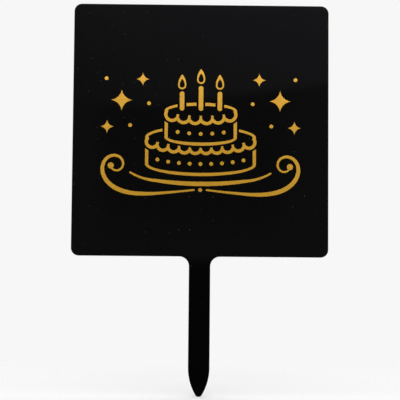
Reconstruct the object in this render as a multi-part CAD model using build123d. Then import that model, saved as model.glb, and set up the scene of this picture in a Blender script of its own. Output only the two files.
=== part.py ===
from build123d import *
import os
from math import cos, radians, sin, sqrt

# A square cake topper. One sheet of black acrylic is laser cut as a plate with a stake under it,
# and a gold foil picture of a lit birthday cake is hot stamped on the front of the plate.
# X runs to the viewer's right, the front faces -Y and Z is up. The origin lies on the stake's
# centreline, in the middle of the sheet, at the height where the top of the real cake comes.

# Acrylic blank, in millimetres
plate_width = 100.0
plate_height = 99.0
corner_radius = 3.0
sheet_thickness = 1.5
edge_break = 0.15  # the laser breaks the sharp edge by this much
stake_width = 8.3
stake_length = 54.0
insertion_depth = 42.0  # the stake's length inside the cake
shoulder_radius = 3.75
flank_radius = 20.3
tip_radius = 1.5

# Gold foil and the lines that the picture is drawn with
film_thickness = 0.1
pen_width = 1.25  # the even line round the tiers and their icing
thin_stroke = 0.7  # the ends of the swelling strokes
thick_stroke = 1.7  # the middle of the swelling strokes
line_gap = 0.85  # bare acrylic where one foil patch makes way for another

# Cake tiers, drawn as round tiers seen from a little above
upper_half_width = 13.5
upper_half_depth = 2.6
upper_height = 10.5
tier_step = 7.5  # the lower tier is this much wider on each side
lower_half_depth = 4.0
lower_height = 10.5
scallop_width = 4.3
scallop_overlap = 0.2
pearl_diameter = 1.5

# Cake board, of which only the front rim shows
board_drop = 15.8  # from the plate's middle down to the board's middle
board_overhang = 7.0  # the board is this much wider than the lower tier on each side
board_half_depth = 5.4
board_reach = 78.0  # degrees of the rim on each side of its middle
board_steps = 8  # two to each arc of the stroke
foot_gap = 2.2  # bare acrylic between the board's rim and the lower tier's foot

# Candles and flames
candle_width = 1.8
candle_height = 7.6
candle_inset = 6.1  # from the upper tier's side to the outer candles
middle_candle_extra = 2.2
flame_half_width = 1.6
flame_height = 4.3
flame_side_line = 0.6
flame_tip_line = 1.8

# Confetti on each side: distance beyond the lower tier's side, and height above its rim
large_star_places = [(10.0, 14.5)]
small_star_places = [(1.8, 22.8), (15.6, 4.0)]
dot_places = [(-0.7, 13.3), (6.6, 4.6), (16.0, 23.0)]
large_star_radius = 4.2
small_star_radius = 2.6
star_tip_angle = 14.0
dot_diameter = 1.5

# Scrolls under the board
scroll_turn = 450.0  # degrees from the first heading to the eye
scroll_heading = -6.0  # degrees of the first heading, below the horizontal
scroll_tightening = 3.8  # power by which the turn grows along the stroke
scroll_steps = 32  # two to each arc of the stroke
scroll_eye = 2.4
scroll_parting = 5.0  # between the inner ends of the two scrolls
scroll_gap = 1.2  # bare acrylic between the board's rim and the scrolls' inner ends
curl_gap = 2.0  # bare acrylic between the board's ends and the scrolls' curls

# Heights from the origin
tip_height = -insertion_depth
plate_bottom = stake_length - insertion_depth
plate_middle = plate_bottom + plate_height / 2

# Half widths, and heights from the board's middle
pen_half = pen_width / 2
clear_half = pen_half + line_gap
lower_half_width = upper_half_width + tier_step
board_half_width = lower_half_width + board_overhang
candle_spacing = upper_half_width - candle_inset
board_front = -board_half_depth
lower_foot = board_front + thick_stroke / 2 + foot_gap + pen_half + lower_half_depth
lower_rim = lower_foot + lower_height
upper_rim = lower_rim + upper_height
scroll_start = board_front - thick_stroke / 2 - scroll_gap - thin_stroke / 2

# Local x is X and local y is Z. The blank is drawn on its back face from the origin's height,
# the foil on the front face from the height of the board's middle, and both grow to the front.
back_face = Plane(origin=(0, sheet_thickness / 2, 0), x_dir=(1, 0, 0), z_dir=(0, -1, 0))
front_face = Plane(
    origin=(0, -sheet_thickness / 2, plate_middle - board_drop), x_dir=(1, 0, 0), z_dir=(0, -1, 0)
)


def acrylic_blank():
    """The laser-cut sheet: a rounded plate, filleted shoulders and a stake with an ogive point."""
    half_stake = stake_width / 2
    flank_offset = flank_radius - half_stake
    flank_reach = flank_radius - tip_radius
    tip_centre = tip_height + tip_radius
    point_rise = sqrt(flank_reach**2 - flank_offset**2)
    point_start = tip_centre + point_rise
    touch_x = tip_radius * flank_offset / flank_reach
    touch_z = tip_centre - tip_radius * point_rise / flank_reach

    right_flank = RadiusArc((half_stake, point_start), (touch_x, touch_z), flank_radius)
    point = ThreePointArc((touch_x, touch_z), (0, tip_height), (-touch_x, touch_z))
    left_flank = RadiusArc((-touch_x, touch_z), (-half_stake, point_start), flank_radius)
    left_side = Line((-half_stake, point_start), (-half_stake, plate_middle))
    root = Line((-half_stake, plate_middle), (half_stake, plate_middle))
    right_side = Line((half_stake, plate_middle), (half_stake, point_start))
    stake = make_face(right_flank + point + left_flank + left_side + root + right_side)
    plate = Pos(0, plate_middle) * RectangleRounded(plate_width, plate_height, corner_radius)
    outline = plate + stake
    shoulders = outline.vertices().sort_by_distance((0, plate_bottom))[:2]
    outline = fillet(shoulders, shoulder_radius)
    blank = extrude(back_face * outline, sheet_thickness)
    rims = blank.faces().filter_by(Axis.Y).edges()
    return chamfer(rims, edge_break)


def foil(faces):
    """Foil patches on the front face, one solid for each drawn face."""
    return Compound([extrude(front_face * face, film_thickness).solid() for face in faces])


def arcs_through(points):
    """A smooth side of a stroke: arcs through each three points in turn, end to end."""
    return [ThreePointArc(*points[i : i + 3]) for i in range(0, len(points) - 2, 2)]


def pen_stroke(points, widths):
    """A swelling pen stroke with round ends along the points, with its width at each of them."""
    before = points[:1] + points[:-1]
    after = points[1:] + points[-1:]
    along = [(b - a).normalized() for a, b in zip(before, after)]
    across = [Vector(-a.Y, a.X) * (w / 2) for a, w in zip(along, widths)]
    left = [p + c for p, c in zip(points, across)]
    right = [p - c for p, c in zip(points, across)]
    start_tip = points[0] - along[0] * (widths[0] / 2)
    end_tip = points[-1] + along[-1] * (widths[-1] / 2)
    start_cap = ThreePointArc(right[0], start_tip, left[0])
    end_cap = ThreePointArc(left[-1], end_tip, right[-1])
    return make_face([start_cap, *arcs_through(left), end_cap, *arcs_through(right[::-1])])


def swell(share):
    """A stroke's width at a share of its length: thin at both ends and thick in the middle."""
    return thin_stroke + (thick_stroke - thin_stroke) * sin(radians(180 * share)) ** 2


def scroll():
    """The right-hand scroll: a stroke that runs out from the middle and winds up to a round eye."""
    # Points on a line of unit length, closer together towards the eye, where it turns fastest
    shares = [sqrt(i / scroll_steps) for i in range(scroll_steps + 1)]
    line = [Vector(0, 0)]
    for start, end in zip(shares, shares[1:]):
        turned = scroll_turn * ((start + end) / 2) ** scroll_tightening
        heading = radians(scroll_heading + turned)
        line.append(line[-1] + Vector(cos(heading), sin(heading)) * (end - start))
    widths = [swell(share) for share in shares]
    outermost = line.index(max(line, key=lambda p: p.X))
    curl_side = min(range(outermost, len(line)), key=lambda i: line[i].X)
    board_end = board_half_width * sin(radians(board_reach)) + thin_stroke / 2
    curl_x = board_end + curl_gap + widths[curl_side] / 2
    length = (curl_x - scroll_parting / 2) / line[curl_side].X
    points = [Vector(scroll_parting / 2, scroll_start) + p * length for p in line]
    return pen_stroke(points, widths) + Pos(points[-1]) * Circle(scroll_eye / 2)


def board_rim():
    """The board's front rim, a stroke along the near side of an ellipse."""
    shares = [i / board_steps for i in range(board_steps + 1)]
    angles = [radians(board_reach * (2 * share - 1)) for share in shares]
    points = [Vector(board_half_width * sin(a), board_front * cos(a)) for a in angles]
    return pen_stroke(points, [swell(share) for share in shares])


class Tier:
    """One tier of the cake in the picture, with its icing and the pearls on its wall."""

    def __init__(self, half_width, half_depth, foot, rim):
        self.half_width = half_width
        self.half_depth = half_depth
        self.foot = foot
        self.rim = rim
        self.scallops = round(2 * half_width / scallop_width)
        self.spacing = 2 * half_width / self.scallops
        self.scallop_radius = self.spacing / 2 + scallop_overlap

    def rim_front(self, x):
        """The height of the rim's near side."""
        return self.rim - self.half_depth * sqrt(1 - (x / self.half_width) ** 2)

    def wall(self, grow):
        """The filled wall from its rounded foot to its rim, grown on all sides but the top."""
        panel = Rectangle(2 * (self.half_width + grow), self.rim - self.foot)
        foot = Ellipse(self.half_width + grow, self.half_depth + grow)
        return Pos(0, (self.foot + self.rim) / 2) * panel + Pos(0, self.foot) * foot

    def icing(self, grow):
        """The filled icing, the tier's round top with scallops along its near side, grown all round."""
        shape = Pos(0, self.rim) * Ellipse(self.half_width + grow, self.half_depth + grow)
        for i in range(self.scallops):
            x = self.spacing * (i + 0.5) - self.half_width
            shape += Pos(x, self.rim_front(x)) * Circle(self.scallop_radius + grow)
        return shape

    def cover(self):
        """All that the tier hides of what is behind it, with the bare line round it."""
        return self.wall(clear_half) + self.icing(clear_half)

    def wall_line(self):
        """The line round the wall's sides and foot, stopped short of the icing."""
        return self.wall(pen_half) - self.wall(-pen_half) - self.icing(clear_half)

    def icing_line(self):
        """The line round the icing."""
        return self.icing(pen_half) - self.icing(-pen_half)

    def pearls(self):
        """Dots under the notches between the scallops, halfway down to the foot."""
        drop = (self.rim - self.foot + self.scallop_radius) / 2
        places = [self.spacing * i - self.half_width for i in range(1, self.scallops)]
        return [Pos(x, self.rim_front(x) - drop) * Circle(pearl_diameter / 2) for x in places]


def candle(x, height, grow=0):
    """A candle with rounded ends that stands in the middle of the upper tier's top."""
    bar = SlotOverall(height + 2 * grow, candle_width + 2 * grow, rotation=90)
    return Pos(x, upper_rim + height / 2) * bar


def teardrop(half_width, height):
    """A half circle below, and two flank arcs above that leave it upright and meet at a point."""
    flank = (half_width**2 + height**2) / (2 * half_width)
    foot = CenterArc((0, 0), half_width, 180, 180)
    right = RadiusArc((half_width, 0), (0, height), -flank)
    left = RadiusArc((0, height), (-half_width, 0), -flank)
    return make_face(foot + right + left)


def flame(x, height):
    """The outline of a flame over a candle."""
    outer = teardrop(flame_half_width, flame_height)
    core = teardrop(flame_half_width - flame_side_line, flame_height - flame_tip_line)
    return Pos(x, upper_rim + height + line_gap + flame_half_width) * (outer - core)


def star(radius):
    """A four-pointed star with hollow sides, each an arc that gives the points their angle."""
    bend = radians(45 - star_tip_angle / 2)
    side_radius = radius * sqrt(2) / (2 * sin(bend))
    tips = [(radius, 0), (0, radius), (-radius, 0), (0, -radius)]
    sides = [RadiusArc(tips[i - 1], tips[i], side_radius) for i in range(len(tips))]
    return make_face(sides)


def confetti(shape, places):
    """The shape at its places on both sides of the cake."""
    spots = [(lower_half_width + beyond, lower_rim + above) for beyond, above in places]
    return [Pos(side * x, y) * shape for side in (-1, 1) for x, y in spots]


def foil_patches():
    """The drawn faces of each foil node."""
    lower = Tier(lower_half_width, lower_half_depth, lower_foot, lower_rim)
    upper = Tier(upper_half_width, upper_half_depth, lower_rim, upper_rim)
    candles = {
        "left": (-candle_spacing, candle_height),
        "middle": (0, candle_height + middle_candle_extra),
        "right": (candle_spacing, candle_height),
    }
    upper_icing = upper.icing_line()
    for place in candles.values():
        upper_icing -= candle(*place, grow=line_gap)
    *back_rim, scalloped_rim = upper_icing.faces().sort_by(SortBy.AREA)
    right_scroll = scroll()

    patches = {
        "gold_scroll_left": mirror(right_scroll, Plane.YZ).faces(),
        "gold_scroll_right": right_scroll.faces(),
        "gold_centre_pearl": [Pos(0, scroll_start) * Circle(pearl_diameter / 2)],
        "gold_board_rim": [board_rim()],
        "gold_lower_wall": (lower.wall_line() - upper.cover()).faces(),
        "gold_lower_icing": (lower.icing_line() - upper.cover()).faces(),
        "gold_lower_pearls": lower.pearls(),
        "gold_upper_wall": upper.wall_line().faces(),
        "gold_upper_icing": [scalloped_rim],
        "gold_upper_back_rim": back_rim,
        "gold_upper_pearls": upper.pearls(),
        "gold_large_stars": confetti(star(large_star_radius), large_star_places),
        "gold_small_stars": confetti(star(small_star_radius), small_star_places),
        "gold_confetti_dots": confetti(Circle(dot_diameter / 2), dot_places),
    }
    for side, place in candles.items():
        patches["gold_candle_" + side] = [candle(*place)]
        patches["gold_flame_" + side] = [flame(*place)]
    return patches


os.makedirs("parts", exist_ok=True)
export_step(acrylic_blank(), "parts/acrylic_blank.step")
for node, faces in foil_patches().items():
    export_step(foil(faces), f"parts/{node}.step")
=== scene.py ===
import math

import bpy
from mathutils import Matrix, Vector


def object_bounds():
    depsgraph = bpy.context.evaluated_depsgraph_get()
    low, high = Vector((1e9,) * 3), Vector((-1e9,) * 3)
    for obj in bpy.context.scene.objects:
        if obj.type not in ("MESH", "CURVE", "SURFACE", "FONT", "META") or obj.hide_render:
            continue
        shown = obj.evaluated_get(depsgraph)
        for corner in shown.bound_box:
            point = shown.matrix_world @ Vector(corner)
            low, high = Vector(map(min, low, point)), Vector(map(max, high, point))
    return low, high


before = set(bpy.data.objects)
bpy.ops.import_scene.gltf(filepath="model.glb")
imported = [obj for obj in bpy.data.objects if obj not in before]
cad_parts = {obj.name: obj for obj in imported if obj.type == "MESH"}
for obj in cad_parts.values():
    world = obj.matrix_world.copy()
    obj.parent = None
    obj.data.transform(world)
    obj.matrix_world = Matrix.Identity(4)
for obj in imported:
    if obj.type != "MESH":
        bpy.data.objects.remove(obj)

cad_low, cad_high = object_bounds()

# Acrylic blank
# One sheet of black cast acrylic, 1.5 mm thick, laser cut in one outline: plate, shoulders and stake.
# It carries the foil on its front. The back is bare, and the point of the stake goes into the cake.
MM = 0.001


def linear(hex_colour):
    """An sRGB hex value as the linear colour that a shader socket takes."""
    shares = [int(hex_colour[i:i + 2], 16) / 255 for i in (1, 3, 5)]
    return (*[s / 12.92 if s <= 0.04045 else ((s + 0.055) / 1.055) ** 2.4 for s in shares], 1.0)


def add(tree, kind, inputs=None, **settings):
    """Adds a shader node with its settings. Another node's output is linked to an input, a value is set."""
    node = tree.nodes.new("ShaderNode" + kind)
    for name, value in settings.items():
        setattr(node, name, value)
    for socket, value in (inputs or {}).items():
        if isinstance(value, bpy.types.NodeSocket):
            tree.links.new(value, node.inputs[socket])
        else:
            node.inputs[socket].default_value = value
    return node


def new_material(name):
    """A material with an empty node tree, and the tree."""
    material = bpy.data.materials.new(name)
    material.use_nodes = True
    material.node_tree.nodes.clear()
    return material, material.node_tree


def dress(node_name, material):
    """Gives a CAD node's object this material alone."""
    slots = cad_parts[node_name].data.materials
    slots.clear()
    slots.append(material)


# Cast acrylic takes its polish from the glass it is cast on, so its faces mirror the room, a little wavy.
# Wiping dulls that mirror in faint patches, and dust shows on the black. The laser melts the cut edge to a
# softer gloss with ribs across the sheet.
acrylic, tree = new_material("black_cast_acrylic")
black = linear("#040404")
dust_grey = linear("#464648")
acrylic_ior = 1.49
dust_spacing = 4.5 * MM
dust_largest = 0.13 * MM
dusty_left, dusty_right = 0.55, 0.10
dust_roughness = 0.85
wave_length = 16 * MM
wave_height = 0.009 * MM
wave_detail = 1.0
wipe_mark = 11 * MM
wipe_detail = 3.0
polish_clean, polish_wiped = 0.03, 0.055
edge_facing = 0.9
edge_roughness = 0.16
# The laser's real ribs are about 0.25 mm apart. They are drawn coarser, so that they show.
rib_spacing = 0.8 * MM
rib_height = 0.03 * MM
rib_detail = 1.0
# Most values of a noise texture lie between these two.
noise_low, noise_high = 0.3, 0.7

place = add(tree, "TexCoord")
axes = add(tree, "SeparateXYZ", {0: place.outputs["Object"]})
facing = add(tree, "SeparateXYZ", {0: place.outputs["Normal"]})
outward = add(tree, "Math", {0: facing.outputs["Y"]}, operation="ABSOLUTE")
cut_edge = add(tree, "Math", {0: outward.outputs[0], 1: edge_facing}, operation="LESS_THAN")
on_face = add(tree, "CombineXYZ", {"X": axes.outputs["X"], "Y": axes.outputs["Z"]})

# Each cell of the pattern may hold one speck. More dust has settled on the left half than on the right.
cells = add(tree, "TexVoronoi", {"Vector": on_face.outputs[0], "Scale": 1 / dust_spacing},
            voronoi_dimensions="2D")
draw = add(tree, "SeparateColor", {0: cells.outputs["Color"]})
dusty = add(tree, "MapRange", {"Value": axes.outputs["X"], "From Min": cad_low.x, "From Max": cad_high.x,
                               "To Min": dusty_left, "To Max": dusty_right})
chosen = add(tree, "Math", {0: draw.outputs[0], 1: dusty.outputs[0]}, operation="LESS_THAN")
speck_size = add(tree, "Math", {0: draw.outputs[1], 1: dust_largest / dust_spacing}, operation="MULTIPLY")
inside = add(tree, "Math", {0: cells.outputs["Distance"], 1: speck_size.outputs[0]}, operation="LESS_THAN")
dust = add(tree, "Math", {0: chosen.outputs[0], 1: inside.outputs[0]}, operation="MULTIPLY")
colour = add(tree, "Mix", {"Factor": dust.outputs[0], "A": black, "B": dust_grey}, data_type="RGBA")

wiped = add(tree, "TexNoise", {"Vector": place.outputs["Object"], "Scale": 1 / wipe_mark,
                               "Detail": wipe_detail})
polish = add(tree, "MapRange", {"Value": wiped.outputs[0], "From Min": noise_low, "From Max": noise_high,
                                "To Min": polish_clean, "To Max": polish_wiped})
gloss = add(tree, "Mix", {"Factor": cut_edge.outputs[0], "A": polish.outputs[0], "B": edge_roughness})
roughness = add(tree, "Mix", {"Factor": dust.outputs[0], "A": gloss.outputs[0], "B": dust_roughness})

waves = add(tree, "TexNoise", {"Vector": place.outputs["Object"], "Scale": 1 / wave_length,
                               "Detail": wave_detail})
wavy = add(tree, "Bump", {"Height": waves.outputs[0], "Distance": wave_height})
ribs = add(tree, "TexNoise", {"Vector": on_face.outputs[0], "Scale": 1 / rib_spacing, "Detail": rib_detail})
edge_ribs = add(tree, "Math", {0: ribs.outputs[0], 1: cut_edge.outputs[0]}, operation="MULTIPLY")
ribbed = add(tree, "Bump", {"Height": edge_ribs.outputs[0], "Distance": rib_height,
                            "Normal": wavy.outputs[0]})

shader = add(tree, "BsdfPrincipled", {"Base Color": colour.outputs["Result"], "IOR": acrylic_ior,
                                      "Roughness": roughness.outputs[0], "Normal": ribbed.outputs[0]})
add(tree, "OutputMaterial", {"Surface": shader.outputs[0]})
dress("acrylic_blank", acrylic)

# Cake board and tiers
# Lines and dots of gold foil: the board's rim, then walls, icing and pearls of the two tiers.
# One heated die stamps them on the acrylic, together with all the foil that follows.

# Hot-stamped foil is a metallised film: satin gold, with a fine grain and a soft bloom from the die.
# Its clear satin lacquer scatters part of the light, so the gold shows even where it mirrors black.
foil, tree = new_material("hot_stamped_gold_foil")
gold_light = linear("#F5BC2E")
gold_deep = linear("#E8A71E")
bloom_size = 4 * MM
bloom_detail = 3.0
# The real grain is finer than 0.1 mm. It is drawn coarser, so that it shows.
grain_size = 0.5 * MM
grain_height = 0.0008 * MM
grain_detail = 2.0
satin_smooth, satin_rough = 0.20, 0.26
foil_metallic = 0.65
lacquer_weight = 1.0
lacquer_roughness = 0.22

place = add(tree, "TexCoord")
bloom = add(tree, "TexNoise", {"Vector": place.outputs["Object"], "Scale": 1 / bloom_size,
                               "Detail": bloom_detail})
colour = add(tree, "Mix", {"Factor": bloom.outputs[0], "A": gold_deep, "B": gold_light}, data_type="RGBA")
grain = add(tree, "TexNoise", {"Vector": place.outputs["Object"], "Scale": 1 / grain_size,
                               "Detail": grain_detail})
satin = add(tree, "MapRange", {"Value": grain.outputs[0], "From Min": noise_low, "From Max": noise_high,
                               "To Min": satin_smooth, "To Max": satin_rough})
pressed = add(tree, "Bump", {"Height": grain.outputs[0], "Distance": grain_height})
shader = add(tree, "BsdfPrincipled", {"Base Color": colour.outputs["Result"], "Metallic": foil_metallic,
                                      "Roughness": satin.outputs[0], "Normal": pressed.outputs[0],
                                      "Coat Weight": lacquer_weight, "Coat Roughness": lacquer_roughness})
add(tree, "OutputMaterial", {"Surface": shader.outputs[0]})

dress("gold_board_rim", foil)
for tier in ("lower", "upper"):
    for line in ("wall", "icing", "pearls"):
        dress(f"gold_{tier}_{line}", foil)
dress("gold_upper_back_rim", foil)

# Candles and flames
# Three foil bars that stand on the upper tier, and a foil flame over each.
# They are part of the same stamping.
for side in ("left", "middle", "right"):
    dress(f"gold_candle_{side}", foil)
    dress(f"gold_flame_{side}", foil)

# Confetti
# Four-pointed stars in two sizes and round dots on both sides of the cake.
# They are stamped from the same foil.
for confetti in ("large_stars", "small_stars", "confetti_dots"):
    dress(f"gold_{confetti}", foil)

# Scrolls
# Two foil flourishes that swell and roll up at their outer ends, with a pearl between them.
# They close the stamped picture below the board.
for flourish in ("scroll_left", "scroll_right", "centre_pearl"):
    dress(f"gold_{flourish}", foil)

# Floor
# A round of pale paper that the stake's tip stands on.
# It fades into the pale room, so no edge shows.
floor_level = cad_low.z
floor_radius = 0.3
round_corners = 96
around = [2 * math.pi * k / round_corners for k in range(round_corners)]


def flat_mesh(name, corners):
    """One flat face as an object, linked to the scene."""
    mesh = bpy.data.meshes.new(name)
    mesh.from_pydata(corners, [], [list(range(len(corners)))])
    thing = bpy.data.objects.new(name, mesh)
    bpy.context.scene.collection.objects.link(thing)
    return thing


rim = [(floor_radius * math.cos(a), floor_radius * math.sin(a), floor_level) for a in around]
floor = flat_mesh("floor", rim)

# Uncoated paper is matt, so it takes only the soft shadow of the object.
paper, tree = new_material("pale_paper")
paper_white = linear("#FEFEFE")
place = add(tree, "TexCoord")
away = add(tree, "VectorMath", {0: place.outputs["Object"]}, operation="LENGTH")
fade = add(tree, "MapRange", {"Value": away.outputs["Value"], "From Max": floor_radius},
           interpolation_type="SMOOTHSTEP")
matt = add(tree, "BsdfDiffuse", {"Color": paper_white})
clear = add(tree, "BsdfTransparent")
cover = add(tree, "MixShader", {0: fade.outputs[0], 1: matt.outputs[0], 2: clear.outputs[0]})
add(tree, "OutputMaterial", {"Surface": cover.outputs[0]})
floor.data.materials.append(paper)

# Painted reflections
# A near-black oval on the floor and a graded card that stands behind the camera, seen only by the gloss.
# They paint the plate's reflection in place of the pale room: dark below a slanting edge and grey above it.
oval_half_width, oval_half_depth = 0.18, 0.56
oval_middle = -0.20
oval_rim = 0.78
oval_lift = 0.2 * MM
oval_level = floor_level + oval_lift


def only_in_gloss(thing):
    """Hides a card from the camera, from soft light and from the lamps. Only reflections show it."""
    thing.visible_camera = False
    thing.visible_diffuse = False
    thing.visible_shadow = False
    thing.visible_transmission = False


rim = [(oval_half_width * math.cos(a), oval_middle + oval_half_depth * math.sin(a), oval_level)
       for a in around]
painted_reflection_oval = flat_mesh("painted_reflection_oval", rim)

# Painted reflection: a near-black sheet that only the gloss sees, which darkens the plate's mirror.
# Its rim thins out, so the gloss shows no hard line.
dark_reflection, tree = new_material("painted_dark_reflection")
painted_reflection_black = linear("#060606")
place = add(tree, "TexCoord")
offset = add(tree, "VectorMath", {0: place.outputs["Object"], 1: (0, oval_middle, oval_level)},
             operation="SUBTRACT")
share = add(tree, "VectorMath", {0: offset.outputs[0], 1: (oval_half_width, oval_half_depth, 1)},
            operation="DIVIDE")
away = add(tree, "VectorMath", {0: share.outputs[0]}, operation="LENGTH")
fade = add(tree, "MapRange", {"Value": away.outputs["Value"], "From Min": oval_rim},
           interpolation_type="SMOOTHSTEP")
matt = add(tree, "BsdfDiffuse", {"Color": painted_reflection_black})
clear = add(tree, "BsdfTransparent")
cover = add(tree, "MixShader", {0: fade.outputs[0], 1: matt.outputs[0], 2: clear.outputs[0]})
add(tree, "OutputMaterial", {"Surface": cover.outputs[0]})
painted_reflection_oval.data.materials.append(dark_reflection)
only_in_gloss(painted_reflection_oval)

card_half, card_solid_half = 0.165, 0.124
card_top, card_solid_top = 0.272, 0.252
card_front = -0.62
foot = [(-card_half, card_front, floor_level), (card_half, card_front, floor_level)]
head = [(card_half, card_front, card_top), (-card_half, card_front, card_top)]
painted_reflection_card = flat_mesh("painted_reflection_card", foot + head)

# Painted reflection for the plate's mirror: black at the foot for the stake, dark grey with paler sides for
# the plate's lower half, and above an edge that slants up to the right a lighter, slightly cool grey.
# Its rim thins out like the oval's.
graded, tree = new_material("painted_reflection_card")
card_tones = ((0.020, "#060606"), (0.029, "#4E4E4E"), (0.075, "#404040"), (0.140, "#404040"))
grey_beside = linear("#4C4C4C")
beside_from, beside_to = 0.065, 0.095
edge_height = 0.1653
edge_slope = 0.137
edge_lowest = 0.1605
edge_bend = 0.004
edge_softness = 0.0035
grey_left = linear("#525252")
grey_right = linear("#767780")
grey_slant = 0.5
grey_from, grey_to = 0.11, 0.31
place = add(tree, "TexCoord")
axes = add(tree, "SeparateXYZ", {0: place.outputs["Object"]})
share = add(tree, "MapRange", {"Value": axes.outputs["Z"], "From Max": card_top})
lower = add(tree, "ValToRGB", {0: share.outputs[0]})
# The ramp comes with a stop at each end. They go once the card's own tones are in.
for height, tone in card_tones:
    lower.color_ramp.elements.new(height / card_top).color = linear(tone)
lower.color_ramp.elements.remove(lower.color_ramp.elements[0])
lower.color_ramp.elements.remove(lower.color_ramp.elements[-1])
sideways = add(tree, "Math", {0: axes.outputs["X"]}, operation="ABSOLUTE")
beside = add(tree, "MapRange", {"Value": sideways.outputs[0], "From Min": beside_from,
                                "From Max": beside_to}, interpolation_type="SMOOTHSTEP")
dark = add(tree, "Mix", {"Factor": beside.outputs[0], "A": lower.outputs[0], "B": grey_beside},
           data_type="RGBA")
lift = add(tree, "Math", {0: axes.outputs["X"], 1: grey_slant, 2: axes.outputs["Z"]},
           operation="MULTIPLY_ADD")
rise = add(tree, "MapRange", {"Value": lift.outputs[0], "From Min": grey_from, "From Max": grey_to})
upper = add(tree, "Mix", {"Factor": rise.outputs[0], "A": grey_left, "B": grey_right}, data_type="RGBA")
slant = add(tree, "Math", {0: axes.outputs["X"], 1: edge_slope, 2: edge_height}, operation="MULTIPLY_ADD")
edge = add(tree, "Math", {0: slant.outputs[0], 1: edge_lowest, 2: edge_bend}, operation="SMOOTH_MAX")
over = add(tree, "Math", {0: axes.outputs["Z"], 1: edge.outputs[0]}, operation="SUBTRACT")
above = add(tree, "MapRange", {"Value": over.outputs[0], "From Min": -edge_softness,
                               "From Max": edge_softness}, interpolation_type="SMOOTHSTEP")
tone = add(tree, "Mix", {"Factor": above.outputs[0], "A": dark.outputs["Result"],
                         "B": upper.outputs["Result"]}, data_type="RGBA")
side_fade = add(tree, "MapRange", {"Value": sideways.outputs[0], "From Min": card_solid_half,
                                   "From Max": card_half}, interpolation_type="SMOOTHSTEP")
top_fade = add(tree, "MapRange", {"Value": axes.outputs["Z"], "From Min": card_solid_top,
                                  "From Max": card_top}, interpolation_type="SMOOTHSTEP")
fade = add(tree, "Math", {0: side_fade.outputs[0], 1: top_fade.outputs[0]}, operation="MAXIMUM")
matt = add(tree, "BsdfDiffuse", {"Color": tone.outputs["Result"]})
clear = add(tree, "BsdfTransparent")
cover = add(tree, "MixShader", {0: fade.outputs[0], 1: matt.outputs[0], 2: clear.outputs[0]})
add(tree, "OutputMaterial", {"Surface": cover.outputs[0]})
painted_reflection_card.data.materials.append(graded)
only_in_gloss(painted_reflection_card)

# Room and softbox
# A pale room gives even light all round. One softbox hangs in front, just above the card, and lights the
# foil more at the top than at the foot. The grid on its front keeps its light off the floor beneath it.
room_white = linear("#F7F7F7")
room_strength = 1.0
room = bpy.data.worlds.new("pale_room")
bpy.context.scene.world = room
room.use_nodes = True
room.cycles.sampling_method = "NONE"
background = room.node_tree.nodes["Background"]
background.inputs["Color"].default_value = room_white
background.inputs["Strength"].default_value = room_strength

softbox_width, softbox_height = 0.9, 0.3
softbox_foot_y, softbox_foot_z = -1.0, 0.38
softbox_lean = math.radians(12)
softbox_grid = math.radians(60)
softbox_watts = 0.60
lamp = bpy.data.lights.new("softbox", "AREA")
lamp.shape = "RECTANGLE"
lamp.size = softbox_width
lamp.size_y = softbox_height
lamp.spread = softbox_grid
lamp.energy = softbox_watts
softbox = bpy.data.objects.new("softbox", lamp)
bpy.context.scene.collection.objects.link(softbox)
softbox.rotation_euler = (math.pi / 2 - softbox_lean, 0, 0)
softbox.location = (0,
                    softbox_foot_y + softbox_height / 2 * math.sin(softbox_lean),
                    softbox_foot_z + softbox_height / 2 * math.cos(softbox_lean))
softbox.visible_camera = False

# Camera
# It stands half a metre in front of the plate, as high as the top of the cake would come, and looks up by
# four degrees, so that the whole topper fills the picture.
camera_place = (-5.9 * MM, -496.7 * MM, -1.5 * MM)
camera_turn = (94.095, -0.490, -0.711)
camera_sensor, camera_lens = 36, 114.95
nearest = 0.01
camera = bpy.data.objects.new("camera", bpy.data.cameras.new("camera"))
bpy.context.scene.collection.objects.link(camera)
camera.location = camera_place
camera.rotation_euler = [math.radians(angle) for angle in camera_turn]
camera.data.sensor_width = camera_sensor
camera.data.lens = camera_lens
camera.data.clip_start = nearest
bpy.context.scene.camera = camera
bpy.context.scene.view_settings.view_transform = "Standard"
